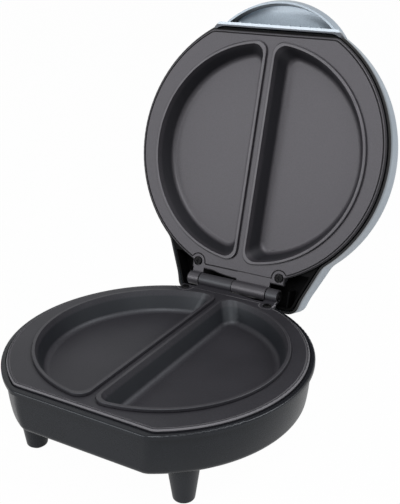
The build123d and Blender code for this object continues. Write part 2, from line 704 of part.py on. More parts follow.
def cord_gland():
    """The gland in the rear wall: a nose and flange outside, a collar inside, bored for the cord."""
    flange_y = GLAND_BOSS_Y + GLAND_FLANGE
    nose = Pos(0, flange_y, GLAND_Z) * Rot(-90, 0, 0) * Cone(
        GLAND_BODY_R, GLAND_NOSE_R, GLAND_NOSE_LENGTH, align=(Align.CENTER, Align.CENTER, Align.MIN))
    nose = fillet(nose.edges().group_by(Axis.Y)[-1], GLAND_EDGE_R)
    gland = nose + rod_y(GLAND_BOSS_Y, flange_y, 0, GLAND_Z, GLAND_FLANGE_R)
    gland += rod_y(GLAND_COLLAR_Y, GLAND_BOSS_Y, 0, GLAND_Z, GLAND_BODY_R)
    return gland - rod_y(GLAND_COLLAR_Y, flange_y + GLAND_NOSE_LENGTH, 0, GLAND_Z, GLAND_BORE_R)


def hinge_pin():
    """The pin through both castings, headed on the left and grooved for a clip on the right."""
    left = -EAR_END - PIN_END_PLAY
    right = EAR_END + PIN_END_PLAY
    groove_end = right + PIN_CLIP_THICKNESS
    pin = rod_x(left, groove_end + PIN_CLIP_THICKNESS, HINGE_Y, HINGE_Z, PIN_R)
    head = rod_x(left - PIN_HEAD_THICKNESS, left, HINGE_Y, HINGE_Z, PIN_HEAD_R)
    pin += fillet(head.edges().group_by(Axis.X)[0], PIN_HEAD_THICKNESS / 2)
    neck = rod_x(right, groove_end, HINGE_Y, HINGE_Z, PIN_R * PIN_NECK)
    return pin - (rod_x(right, groove_end, HINGE_Y, HINGE_Z, PIN_R) - neck)


def pin_clip():
    """The open ring that snaps into the pin's groove."""
    start = EAR_END + PIN_END_PLAY
    end = start + PIN_CLIP_THICKNESS
    neck_r = PIN_R * PIN_NECK
    ring = rod_x(start, end, HINGE_Y, HINGE_Z, PIN_HEAD_R)
    ring -= rod_x(start, end, HINGE_Y, HINGE_Z, neck_r + PIN_CLEARANCE)
    return ring - block(start, end, HINGE_Y - neck_r, HINGE_Y + neck_r, HINGE_Z - REACH, HINGE_Z)


# Lid, built closed; depths count upward from the upper plate's face

def lid_z(depth):
    """The closed lid's height at a depth into it."""
    return LID_FACE_Z + depth


def lid_outline(inset):
    """The lid seen from above: the flat-fronted round and the hood that flares over the hinge."""
    disc_part = flat_front_disc(SHELL_R - inset, SHELL_FRONT - inset, SHELL_CORNER_R)
    half = [
        (HOOD_ROOT_X - inset, HOOD_ROOT_Y),
        (HOOD_MID_X - inset, HINGE_Y),
        (HOOD_END_X - inset, HOOD_END_Y - inset),
    ]
    half.insert(0, (HOOD_ROOT_X - inset, 0))
    other = [(-x, y) for x, y in reversed(half)]
    hood = make_face(Polyline(half + other, close=True))
    outline = disc_part + hood
    near = HINGE_Y - NEARNESS
    roots = outline.vertices().filter_by(lambda v: HOOD_ROOT_Y < v.Y < near)
    outline = fillet(roots, HOOD_ROOT_BEND_R + inset)
    mids = outline.vertices().filter_by(lambda v: abs(v.Y - HINGE_Y) < NEARNESS)
    outline = fillet(mids, HOOD_MID_BEND_R)
    ends = outline.vertices().filter_by(lambda v: abs(v.Y - (HOOD_END_Y - inset)) < NEARNESS)
    return fillet(ends, HOOD_CORNER_R - inset)


def dome(drop):
    """The large ball whose top is the lid's top, lowered by a wall thickness."""
    return Pos(0, DOME_Y, lid_z(DOME_TOP - DOME_R)) * Sphere(DOME_R - drop)


def shell_body(inset, bottom, shoulder_radius):
    """The lid's outer shape, or its hollow when inset, with a rounded shoulder."""
    body = prism(lid_outline(inset), lid_z(bottom), lid_z(DOME_TOP)) & dome(inset)
    top = body.faces().sort_by(Axis.Z)[-1]
    return fillet(top.edges(), shoulder_radius)


def handle_outline(inset):
    """The crescent in front of the lid's flat front."""
    centre_y = HANDLE_CENTRE_BEHIND - SHELL_FRONT
    crescent = Pos(0, centre_y) * Rot(0, 0, 90) * Circle(HANDLE_R - inset)
    return crescent & (Pos(0, -SHELL_FRONT + HANDLE_ROOT - REACH / 2) * Rectangle(REACH, REACH))


def handle():
    """The crescent handle: a domed top over a finger recess, between the lid's edge bar and a rim."""
    belly_z = lid_z(HANDLE_BELLY)
    crescent = prism(handle_outline(0), belly_z, lid_z(HANDLE_TOP))
    top_y = HANDLE_TOP_BEHIND - SHELL_FRONT
    crescent &= Pos(0, top_y, lid_z(HANDLE_TOP - HANDLE_TOP_R)) * Sphere(HANDLE_TOP_R)
    outer = crescent.edges().filter_by(lambda e: (e @ 0.5).Y < -BAR_FRONT - NEARNESS)
    crescent = fillet(outer.sort_by(Axis.Z)[-1], HANDLE_EDGE_R)
    rim = loft([
        (Pos(0, 0, lid_z(HANDLE_RIM_BOTTOM)) * handle_outline(HANDLE_RIM_DRAWN_IN)).face(),
        (Pos(0, 0, belly_z) * handle_outline(0)).face(),
    ])
    edge_bar = handle_outline(0) & (Pos(0, REACH / 2 - BAR_FRONT) * Rectangle(REACH, REACH))
    crescent += rim + prism(edge_bar, lid_z(SHELL_RIM), belly_z)
    recess = handle_outline(HANDLE_RIM_DRAWN_IN + HANDLE_RIM)
    recess &= Pos(0, -REACH / 2 - BAR_FRONT) * Rectangle(REACH, REACH)
    scoop = rod_x(-REACH / 2, REACH / 2, -SHELL_FRONT - SCOOP_BEFORE, lid_z(SCOOP_DEPTH), SCOOP_R)
    return crescent - (prism(recess, 0, lid_z(HANDLE_TOP)) & scoop)


def grip_ribs():
    """Short upright ribs in the finger recess, on the back of the lid's edge bar."""
    ribs = []
    for rib in range(GRIP_RIBS):
        x = (rib - (GRIP_RIBS - 1) / 2) * GRIP_PITCH
        ribs.append(block(x - GRIP_WIDTH / 2, x + GRIP_WIDTH / 2, -BAR_FRONT - GRIP_LENGTH,
                          -BAR_FRONT + HANDLE_BAR / 2, lid_z(GRIP_START), lid_z(GRIP_END)))
    return ribs


def lid_shell():
    """The silver lid: domed top, hood over the hinge and crescent handle, in one hollow moulding."""
    shell = shell_body(0, SHELL_RIM, SHOULDER_R)
    shell = fillet(shell.edges().group_by(Axis.Z)[0], SHELL_RIM_EDGE_R)
    shell += handle()
    hollow = shell_body(SHELL_WALL, SHELL_RIM, SHOULDER_R - SHELL_WALL)
    shell -= hollow
    for rib in grip_ribs():
        shell += rib
    column_z = lid_z(FRAME_DEPTH + FRAME_LEDGE)
    screw_end = lid_z(PLATE_SCREW_SEAT + LID_SCREW_LENGTH)
    for side in (-1, 1):
        x = side * PLATE_SCREW_X
        shell += disc(x, PLATE_SCREW_Y, column_z, lid_z(DOME_TOP), COLUMN_R) & hollow
        shell -= disc(x, PLATE_SCREW_Y, column_z, screw_end, PLATE_SCREW_R + PILOT_CLEARANCE)
        lens_hole = disc(side * LAMP_X, 0, -2 * SHELL_WALL, SHELL_WALL, LENS_R + LENS_CLEARANCE)
        shell -= lamp_place() * lens_hole
        boss = disc(side * BOARD_SCREW_X, 0, -BOARD_DROP, -SHELL_WALL / 2, BOARD_BOSS_R)
        pilot = disc(side * BOARD_SCREW_X, 0, -BOARD_DROP, -SHELL_WALL, BOARD_SCREW_R + PILOT_CLEARANCE)
        shell += lamp_place() * (boss - pilot)
    return shell


def lamp_place():
    """The spot on the dome between the two lamps, its own Z pointing straight out of the lid."""
    tilt = math.degrees(math.asin((DOME_Y - LAMP_Y) / DOME_R))
    return Pos(0, DOME_Y, lid_z(DOME_TOP - DOME_R)) * Rot(tilt, 0, 0) * Pos(0, 0, DOME_R)


def lens(x):
    """A domed lens pushed through the lid from inside, with a flange behind the wall."""
    back = -SHELL_WALL - LENS_SEAT
    stem = disc(x, 0, back - LENS_FLANGE, LENS_STANDS, LENS_R)
    stem = fillet(stem.edges().group_by(Axis.Z)[-1], LENS_EDGE_R)
    return lamp_place() * (stem + disc(x, 0, back - LENS_FLANGE, back, LENS_FLANGE_R))


def lamp(x):
    """A small lamp standing on the lamp board behind its lens."""
    bulb = disc(x, 0, -BOARD_DROP, -BOARD_DROP + LAMP_HEIGHT, LAMP_R)
    return lamp_place() * fillet(bulb.edges().group_by(Axis.Z)[-1], LENS_EDGE_R)


def lamp_board():
    """The board that carries both lamps, screwed to two bosses inside the lid."""
    board = block(-BOARD_LENGTH / 2, BOARD_LENGTH / 2, -BOARD_WIDTH / 2, BOARD_WIDTH / 2,
                  -BOARD_DROP - BOARD_THICKNESS, -BOARD_DROP)
    for side in (-1, 1):
        board -= disc(side * BOARD_SCREW_X, 0, -BOARD_DROP - BOARD_THICKNESS, -BOARD_DROP,
                      BOARD_SCREW_R + PILOT_CLEARANCE)
    return lamp_place() * board


def board_screw(side):
    """One of the lamp board's screws."""
    seat = -BOARD_DROP - BOARD_THICKNESS
    return lamp_place() * screw(side * BOARD_SCREW_X, 0, seat, BOARD_SCREW_R, BOARD_SCREW_LENGTH,
                                BOARD_SCREW_HEAD_R, BOARD_SCREW_HEAD, up=False)


def lid_frame():
    """The black inner frame: a ring behind the plate, a ledge, and the lining of the hinge hood."""
    inset = SHELL_WALL + FRAME_GAP
    frame = prism(lid_outline(inset), lid_z(FRAME_START), lid_z(FRAME_DEPTH + FRAME_LEDGE))
    behind = Pos(0, HINGE_Y - HOOD_LINING_BEFORE + REACH / 2) * Rectangle(REACH, REACH)
    hood = lid_outline(inset + FRAME_WALL) & behind
    room = flat_front_disc(FRAME_INNER_R, FRAME_FRONT_INNER, PLATE_CORNER_R)
    frame -= prism(room + hood, lid_z(FRAME_START), lid_z(FRAME_DEPTH))
    opening = flat_front_disc(FRAME_LEDGE_R, FRAME_LEDGE_FRONT, PLATE_CORNER_R)
    frame -= prism(opening, lid_z(FRAME_START), lid_z(FRAME_DEPTH + FRAME_LEDGE))
    hole_r = PLATE_SCREW_R + SCREW_HOLE_CLEARANCE
    for side in (-1, 1):
        rib_x = side * HOOD_RIB_X
        frame += block(rib_x - HOOD_RIB_WIDTH / 2, rib_x + HOOD_RIB_WIDTH / 2, HINGE_Y - HOOD_RIB_BEFORE,
                       HOOD_END_Y - inset - FRAME_WALL / 2, lid_z(HOOD_RIB_START), lid_z(FRAME_DEPTH))
        x = side * PLATE_SCREW_X
        frame += disc(x, PLATE_SCREW_Y, lid_z(SCREW_BOSS_DEPTH), lid_z(FRAME_DEPTH), COLUMN_R)
        frame -= disc(x, PLATE_SCREW_Y, lid_z(SCREW_BOSS_DEPTH), lid_z(FRAME_DEPTH + FRAME_LEDGE), hole_r)
        frame -= disc(side * POST_X, POST_Y, lid_z(FRAME_DEPTH), lid_z(FRAME_DEPTH + FRAME_LEDGE), hole_r)
    return frame


def upper_reflector():
    """A sheet-metal pan over the upper heater, its flange resting on the frame's ledge."""
    seat = lid_z(FRAME_DEPTH + FRAME_LEDGE)
    top = lid_z(UPPER_REFLECTOR_TOP)
    radius = FRAME_LEDGE_R - UPPER_REFLECTOR_MARGIN
    flange = flat_front_disc(FRAME_LEDGE_R + UPPER_REFLECTOR_OVERLAP,
                             FRAME_LEDGE_FRONT + UPPER_REFLECTOR_FRONT_OVERLAP, PLATE_CORNER_R)
    behind = Pos(0, REACH / 2 - FRAME_LEDGE_FRONT) * Rectangle(REACH, REACH)
    pan = prism(Circle(radius) & behind, seat, top + REFLECTOR_THICKNESS)
    pan += prism(flange, seat, seat + REFLECTOR_THICKNESS)
    inside = Circle(radius - REFLECTOR_THICKNESS) & (Pos(0, REFLECTOR_THICKNESS) * behind)
    return pan - prism(inside, seat, top)


# Assembly

def seated(shape):
    """A piece of the casting's frame, placed in the base."""
    return Pos(0, 0, PLATE_FACE_Z) * shape


def turned_over(shape):
    """A piece of the casting's frame, placed in the closed lid."""
    return Pos(0, 0, LID_FACE_Z) * Rot(0, 180, 0) * shape


def opened(shape):
    """A piece of the closed lid, swung open about the hinge pin."""
    return Pos(0, HINGE_Y, HINGE_Z) * Rot(-OPEN_ANGLE, 0, 0) * Pos(0, -HINGE_Y, -HINGE_Z) * shape


def group(solids):
    """Several separate solids kept as one piece."""
    return Compound([solid for shape in solids for solid in shape.solids()])


def base_pieces():
    """Every piece of the base, by name."""
    plate_seat = PLATE_FACE_Z - PLATE_SCREW_SEAT
    post_seat = PLATE_FACE_Z - POST_LENGTH - POST_SEAT
    post_screw = POST_SEAT + POST_SCREW_LENGTH - PILOT_CLEARANCE
    fuse_strap = [(SENSOR_X, SENSOR_Y)]
    named = {
        "base_housing": base_housing(),
        "lower_plate": seated(cooking_plate()),
        "lower_plate_screws": group(
            screw(side * PLATE_SCREW_X, PLATE_SCREW_Y, plate_seat, PLATE_SCREW_R,
                  BASE_SCREW_LENGTH, PLATE_SCREW_HEAD_R, PLATE_SCREW_HEAD) for side in (-1, 1)),
        "lower_post_screws": group(
            screw(side * POST_X, POST_Y, post_seat, PLATE_SCREW_R, post_screw, PLATE_SCREW_HEAD_R,
                  PLATE_SCREW_HEAD, up=False) for side in (-1, 1)),
        "lower_heating_element": seated(heating_element()),
        "lower_straps": group(seated(strap(*point)) for point in clamp_points() + fuse_strap),
        "lower_strap_screws": group(seated(item) for item in strap_screws(clamp_points() + fuse_strap)),
        "thermal_fuse": seated(thermal_fuse()),
        "lower_reflector": lower_reflector(),
        "reflector_screws": group(
            screw(x, y, FLOOR_Z + LOWER_REFLECTOR_GAP + REFLECTOR_THICKNESS, STRAP_SCREW_R,
                  STRAP_SCREW_LENGTH - REFLECTOR_THICKNESS, STRAP_SCREW_HEAD_R, STRAP_SCREW_HEAD / 2)
            for x, y in stub_points()),
        "terminal_block": terminal_block(),
        "element_leads": group(element_lead(side) for side in (-1, 1)),
        "cord_gland": cord_gland(),
        "hinge_pin": hinge_pin(),
        "hinge_pin_clip": pin_clip(),
        "foot_screws": group(
            screw(x, y, FLOOR_Z, PLATE_SCREW_R, BASE_SCREW_LENGTH, PLATE_SCREW_HEAD_R, PLATE_SCREW_HEAD)
            for x, y in foot_points().values()),
    }
    for name, point in foot_points().items():
        named["foot_" + name] = foot(*point)
        named["foot_pad_" + name] = foot_pad(*point)
    return named


def lid_pieces():
    """Every piece of the closed lid, by name."""
    post_seat = lid_z(POST_LENGTH + FRAME_LEDGE)
    sensor_strap = [(SENSOR_X, SENSOR_Y)]
    strap_places = clamp_points() + sensor_strap
    return {
        "lid_shell": lid_shell(),
        "lid_frame": lid_frame(),
        "upper_plate": turned_over(cooking_plate()),
        "upper_plate_screws": group(
            screw(side * PLATE_SCREW_X, PLATE_SCREW_Y, lid_z(PLATE_SCREW_SEAT), PLATE_SCREW_R,
                  LID_SCREW_LENGTH - PILOT_CLEARANCE, PLATE_SCREW_HEAD_R, PLATE_SCREW_HEAD, up=False)
            for side in (-1, 1)),
        "upper_post_screws": group(
            screw(side * POST_X, POST_Y, post_seat, PLATE_SCREW_R,
                  FRAME_LEDGE + POST_SCREW_LENGTH - PILOT_CLEARANCE, PLATE_SCREW_HEAD_R, PLATE_SCREW_HEAD)
            for side in (-1, 1)),
        "upper_heating_element": turned_over(heating_element()),
        "upper_straps": group(turned_over(strap(*point)) for point in strap_places),
        "upper_strap_screws": group(turned_over(item) for item in strap_screws(strap_places)),
        "thermostat": turned_over(thermostat()),
        "upper_reflector": upper_reflector(),
        "lamp_board": lamp_board(),
        "lamp_board_screws": group(board_screw(side) for side in (-1, 1)),
        "power_lamp": lamp(-LAMP_X),
        "ready_lamp": lamp(LAMP_X),
        "power_lens": lens(-LAMP_X),
        "ready_lens": lens(LAMP_X),
    }


pieces = base_pieces()
for name, piece in lid_pieces().items():
    pieces[name] = opened(piece)

box = Compound(list(pieces.values())).bounding_box()
home = Pos(-(box.min.X + box.max.X) / 2, -(box.min.Y + box.max.Y) / 2, -box.min.Z)

os.makedirs("parts", exist_ok=True)
for name, piece in pieces.items():
    export_step(home * piece, "parts/" + name + ".step")

hinge = home * Pos(0, HINGE_Y, HINGE_Z)
gland = home * Pos(0, GLAND_BOSS_Y, GLAND_Z)
print("size", box.size)
print("hinge", hinge.position)
print("cord gland", gland.position)
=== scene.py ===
import json
import math
from types import SimpleNamespace

import bpy
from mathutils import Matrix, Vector

bl_info = {
    "name": "Omelette Maker Finishes",
    "version": (1, 0, 0),
    "blender": (4, 5, 0),
    "location": "3D View > Sidebar > Omelette Maker",
    "description": "Dresses the omelette maker's frame with its finishes and sets its stage",
    "category": "Object",
}

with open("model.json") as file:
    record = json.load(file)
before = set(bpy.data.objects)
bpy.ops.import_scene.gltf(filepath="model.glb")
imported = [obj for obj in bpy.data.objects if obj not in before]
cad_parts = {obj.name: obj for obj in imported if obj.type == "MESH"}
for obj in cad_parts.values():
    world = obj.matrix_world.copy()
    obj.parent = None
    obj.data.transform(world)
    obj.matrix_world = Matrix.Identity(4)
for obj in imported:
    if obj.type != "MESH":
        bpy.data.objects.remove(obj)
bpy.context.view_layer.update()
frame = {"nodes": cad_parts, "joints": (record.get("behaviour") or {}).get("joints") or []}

# The lid's hinge, from the frame, and the faces of the two plates with the lid at rest
HINGE = next(joint for joint in frame["joints"] if joint["name"] == "lid_hinge")
OPEN_ANGLE = math.radians(max(HINGE["range_deg"]))
HINGE_PLACE = Vector(HINGE["pos_m"])
HINGE_TO_CENTRE = 0.1125
PLATE_FACE_Z = 0.064
UP = Vector((0.0, 0.0, 1.0))
RIGHT = Vector((1.0, 0.0, 0.0))
FRONT = Vector((0.0, -1.0, 0.0))
BASE_FACE = Vector((0.0, HINGE_PLACE.y - HINGE_TO_CENTRE, PLATE_FACE_Z))
LID_FRONT = Vector((0.0, -math.cos(OPEN_ANGLE), math.sin(OPEN_ANGLE)))
LID_NORMAL = Vector((0.0, -math.sin(OPEN_ANGLE), -math.cos(OPEN_ANGLE)))
LID_FACE = HINGE_PLACE + HINGE_TO_CENTRE * LID_FRONT - (HINGE_PLACE.z - PLATE_FACE_Z) * LID_NORMAL

# How far a painted edge takes to change, in metres
BLUR = 0.0001

# Beads, pocket walls and the line round each plate, as heights above the plate's face; the walls get
# painted shade, the line a painted highlight on the lower plate and painted shade on the upper
BEAD_HEIGHT = 0.0023
WALL_FOOT = -0.0125
WALL_HEAD = -0.0012
WALL_BLUR = 0.0015
LINE_DEPTH = 0.0013
LINE_TOP = 0.00008
LINE_INSIDE_R = 0.0975
LINE_INSIDE_FRONT = 0.0875

# The lid shell's rim, black with painted shade, and the painted shade on the silver beside it, as depths
# behind the plate's face
RIM_SHADE_DEPTH = 0.0046
SHADED_DEPTH = 0.006

# The bar and the recess of the handle, where shade and highlight are painted: reaches from the hinge, radii
# of the painted shade round the recess, and depths
BAR_REACH = 0.2055
BAR_MIDDLE = 0.2089
BAR_END = 0.2111
BAR_DEPTH = 0.0085
HANDLE_CENTRE_REACH = 0.1615
RECESS_SHADE_INSIDE = 0.0667
RECESS_SHADE_OUTSIDE = 0.0675
RECESS_SHADE_DEPTH = 0.0172

# Numbers of each finish: noise scales are lumps a metre, reliefs are metres
COATING = SimpleNamespace(
    mottle_scale=24.0, detail=3.0, grain_gain=0.7, mottle_share=0.3, grain_share=0.7,
    stops=((0.30, 0.0), (0.72, 1.0)), crest_start=0.80, crest_span=0.2, crest_highlight_scale=70.0,
    crest_highlight_stops=((0.25, 0.45), (0.6, 1.0)), crest_highlight_share=0.4, wall_shade_share=0.8, roughness=0.38,
    rough_grain=0.12, rough_mottle=0.05, smooth_crest=0.06, rough_line=0.4, relief=0.00007, strength=0.6,
)
SILVER = SimpleNamespace(
    coat_roughness=0.15, flake_detail=1.0, flake_gain=0.7, drift_scale=18.0, drift_detail=3.0,
    flake_share=0.7, drift_share=0.3, stops=((0.3, 0.0), (0.72, 1.0)), metallic=0.3, coat=0.3,
    roughness=0.28, rough_flake=0.10, rough_drift=0.05, rough_rim_shade=0.3,
    ripple_scale=420.0, ripple_detail=2.0, relief=0.00005, strength=0.35,
)
BLACK = SimpleNamespace(
    specular=0.45, specular_tint=(0.90, 0.95, 1.0), cloud_scale=22.0, cloud_detail=4.0, fine_scale=900.0,
    fine_detail=2.0, gain=0.6, cloud_share=0.6, fine_share=0.4, rough_cloud=0.10, rough_fine=0.05,
    bump_cloud=0.75, bump_fine=0.25, relief=0.00003, strength=0.3,
)
MATT = SimpleNamespace(detail=3.0, gain=0.6, rough_fine=0.12, relief=0.00008, strength=0.5)
METAL = SimpleNamespace(
    stretch=(1.0, 12.0, 12.0), line_scale=160.0, line_gain=0.7, patch_scale=120.0, detail=3.0,
    patch_share=0.5, line_share=0.5, rough_patch=0.16, rough_line=0.06, relief=0.00004, strength=0.3,
)
LENS = SimpleNamespace(
    roughness=0.12, coat=0.5, coat_roughness=0.05, ripple_scale=900.0, stops=((0.1, 0.0), (0.8, 1.0)),
    deep_share=0.45, relief=0.00006, strength=0.4,
)
EVEN_STOPS = ((0.3, 0.0), (0.7, 1.0))

# Floor, camera and lamps: each lamp has a name, a place and a side, in metres
FLOOR_ROUGHNESS = 0.9
FLOOR_MIRRORED_SHARE = 0.6
CLIP_NEAR = 0.01
CLIP_FAR = 20.0
STAGE_MIDDLE = (0.0, 0.0, 0.13)
LAMPS = (
    ("key", (-0.92, -1.79, 0.79), 1.2),
    ("fill", (1.25, -1.05, 0.75), 0.5),
    ("top", (0.45, -1.0, 1.45), 0.7),
    ("back", (1.2, 0.6, 1.3), 1.0),
)


def colour(name, description, default):
    """A colour property."""
    return bpy.props.FloatVectorProperty(
        name=name, description=description, default=default, size=3, min=0.0, max=1.0, subtype="COLOR"
    )


def share(name, description, default):
    """A property between nothing and all."""
    return bpy.props.FloatProperty(
        name=name, description=description, default=default, min=0.0, max=1.0, subtype="FACTOR"
    )


def length(name, description, default):
    """A length property, in metres."""
    return bpy.props.FloatProperty(
        name=name, description=description, default=default, min=0.0,
        subtype="DISTANCE", unit="LENGTH", precision=5,
    )


def power(name, description, default):
    """A lamp's power, in watts."""
    return bpy.props.FloatProperty(
        name=name, description=description, default=default, min=0.0, subtype="POWER", unit="POWER"
    )


class FinishSettings(bpy.types.PropertyGroup):
    """Colours and grain of the omelette maker's finishes."""

    coating_low: colour("Coating, Deep", "Non-stick coating between its grains", (0.013, 0.0122, 0.0150))
    coating_high: colour("Coating, Grain", "Non-stick coating on its grains", (0.042, 0.0395, 0.0470))
    # Painted shade on the pockets' steep walls
    painted_wall_shade: colour("Coating, Steep", "Coating on the pockets' steep walls", (0.003, 0.0042, 0.0065))
    # Painted highlight along the beads' crests
    painted_crest_highlight: colour("Coating, Worn", "Coating along the beads' crests", (0.075, 0.073, 0.080))
    # Painted highlight along the line round the lower plate, painted shade in the line round the upper
    # plate
    painted_line_highlight: colour("Line, Base", "Pale line round the lower plate", (0.20, 0.195, 0.21))
    painted_line_shade: colour("Line, Lid", "Dark line round the upper plate", (0.002, 0.002, 0.0022))
    coating_grain: length("Coating Grain", "Size of the coating's grain", 0.0011)
    housing_low: colour("Housing, Deep", "Black moulding, darker patches", (0.0055, 0.0060, 0.0080))
    housing_high: colour("Housing, Pale", "Black moulding, paler patches", (0.0115, 0.0125, 0.0165))
    housing_roughness: share("Housing Roughness", "How matt the black moulding is", 0.20)
    frame_low: colour("Inner Frame, Deep", "Matt black moulding, darker grains", (0.0010, 0.0010, 0.0012))
    frame_high: colour("Inner Frame, Pale", "Matt black moulding, paler grains", (0.0028, 0.0028, 0.0032))
    silver_low: colour("Lid Silver, Deep", "Silver paint between its flakes", (0.325, 0.390, 0.455))
    silver_high: colour("Lid Silver, Flake", "Silver paint on its flakes", (0.520, 0.605, 0.690))
    # Painted shade on the silver beside the rim
    silver_painted_shade: colour("Lid Silver, Shaded", "Silver paint beside the rim", (0.110, 0.135, 0.160))
    # Painted highlight along the bar's upper edge, painted shade along its lower edge
    bar_painted_highlight: colour("Bar, Upper Edge", "Handle's bar along its upper edge", (0.52, 0.59, 0.66))
    bar_painted_shade: colour("Bar, Lower Edge", "Handle's bar along its lower edge", (0.020, 0.028, 0.042))
    # Painted shade: black of the lid's rim and of the line round the handle's recess
    rim_and_recess_painted_shade: colour("Lid Rim", "Black of the lid's rim and recess line", (0.004, 0.0042, 0.005))
    silver_flake: length("Flake Size", "Size of the silver paint's flakes", 0.0005)
    steel_low: colour("Steel, Dull", "Plated steel, dull patches", (0.22, 0.22, 0.225))
    steel_high: colour("Steel, Bright", "Plated steel, bright patches", (0.46, 0.46, 0.47))
    blackened_low: colour("Blackened Steel, Deep", "Black screws and pin, dull", (0.006, 0.006, 0.0062))
    blackened_high: colour("Blackened Steel, Pale", "Black screws and pin, pale", (0.030, 0.030, 0.031))
    red_lens: colour("Power Lens", "Lens of the power lamp", (0.52, 0.024, 0.016))
    green_lens: colour("Ready Lens", "Lens of the ready lamp", (0.030, 0.38, 0.065))


class StageSettings(bpy.types.PropertyGroup):
    """Camera, floor and studio light."""

    camera_place: bpy.props.FloatVectorProperty(
        name="Camera Place", description="Where the camera stands", default=(0.2982, -0.50883, 0.3536),
        size=3, subtype="TRANSLATION", unit="LENGTH",
    )
    camera_yaw: bpy.props.FloatProperty(
        name="Camera Yaw", description="Turn about the upright axis", default=math.radians(30.09),
        subtype="ANGLE", unit="ROTATION",
    )
    camera_pitch: bpy.props.FloatProperty(
        name="Camera Pitch", description="Tilt below the horizon", default=math.radians(-21.8),
        subtype="ANGLE", unit="ROTATION",
    )
    camera_lens: bpy.props.FloatProperty(
        name="Lens", description="Focal length", default=61.6, min=1.0,
        subtype="DISTANCE_CAMERA", unit="CAMERA",
    )
    floor_side: length("Floor Reach", "How far the floor runs each way", 6.0)
    floor_colour: colour("Floor", "Colour of the plain pale floor", (0.68, 0.68, 0.68))
    floor_white: share("Floor Whiteness", "How far the floor shows as white to the camera", 0.985)
    room_level: share("Room Level", "Plain light from all round", 0.04)
    mirrored_level: share("Mirrored Room", "Room level that shows in glossy surfaces", 0.58)
    key_power: power("Key", "Large lamp in front, on the left", 15.5)
    fill_power: power("Fill", "Lamp in front, on the right", 1.8)
    top_power: power("Top", "Large lamp overhead, in front", 13.0)
    back_power: power("Back", "Large lamp behind, on the right", 14.0)


class Value:
    """A shader socket that takes part in sums, differences, products and quotients."""

    def __init__(self, tree, socket):
        self.tree = tree
        self.socket = socket

    def math(self, operation, *terms):
        return self.tree.node("ShaderNodeMath", {"operation": operation}, dict(enumerate(terms)))

    def __add__(self, other):
        return self.math("ADD", self, other)

    def __radd__(self, other):
        return self.math("ADD", other, self)

    def __sub__(self, other):
        return self.math("SUBTRACT", self, other)

    def __rsub__(self, other):
        return self.math("SUBTRACT", other, self)

    def __mul__(self, other):
        return self.math("MULTIPLY", self, other)

    def __rmul__(self, other):
        return self.math("MULTIPLY", other, self)

    def __truediv__(self, other):
        return self.math("DIVIDE", self, other)

    def lesser(self, other):
        return self.math("MINIMUM", self, other)

    def greater(self, other):
        return self.math("MAXIMUM", self, other)

    def root(self):
        return self.math("SQRT", self)

    def clamped(self):
        """Held between 0 and 1."""
        return self.lesser(1.0).greater(0.0)


class Nodes:
    """A node tree with one method that adds any node."""

    def __init__(self, tree):
        self.tree = tree

    def node(self, kind, settings=None, inputs=None, output=0):
        """Adds a node: settings first, then values or links for its sockets; returns one output."""
        node = self.tree.nodes.new(kind)
        for name, value in (settings or {}).items():
            if name == "stops":
                self.set_stops(node.color_ramp, value)
            else:
                setattr(node, name, value)
        for name, value in (inputs or {}).items():
            self.give(node.inputs[name], value)
        return Value(self, node.outputs[output])

    def give(self, socket, value):
        """Links a value to a socket, or sets the socket's own value."""
        if isinstance(value, Value):
            self.tree.links.new(value.socket, socket)
        elif socket.type == "RGBA":
            socket.default_value = (*value, 1.0)
        else:
            socket.default_value = value

    def set_stops(self, ramp, stops):
        """Grey stops of a ramp, each a place and a level."""
        while len(ramp.elements) < len(stops):
            ramp.elements.new(0.5)
        for element, (place, level) in zip(ramp.elements, stops):
            element.position = place
            element.color = (level, level, level, 1.0)


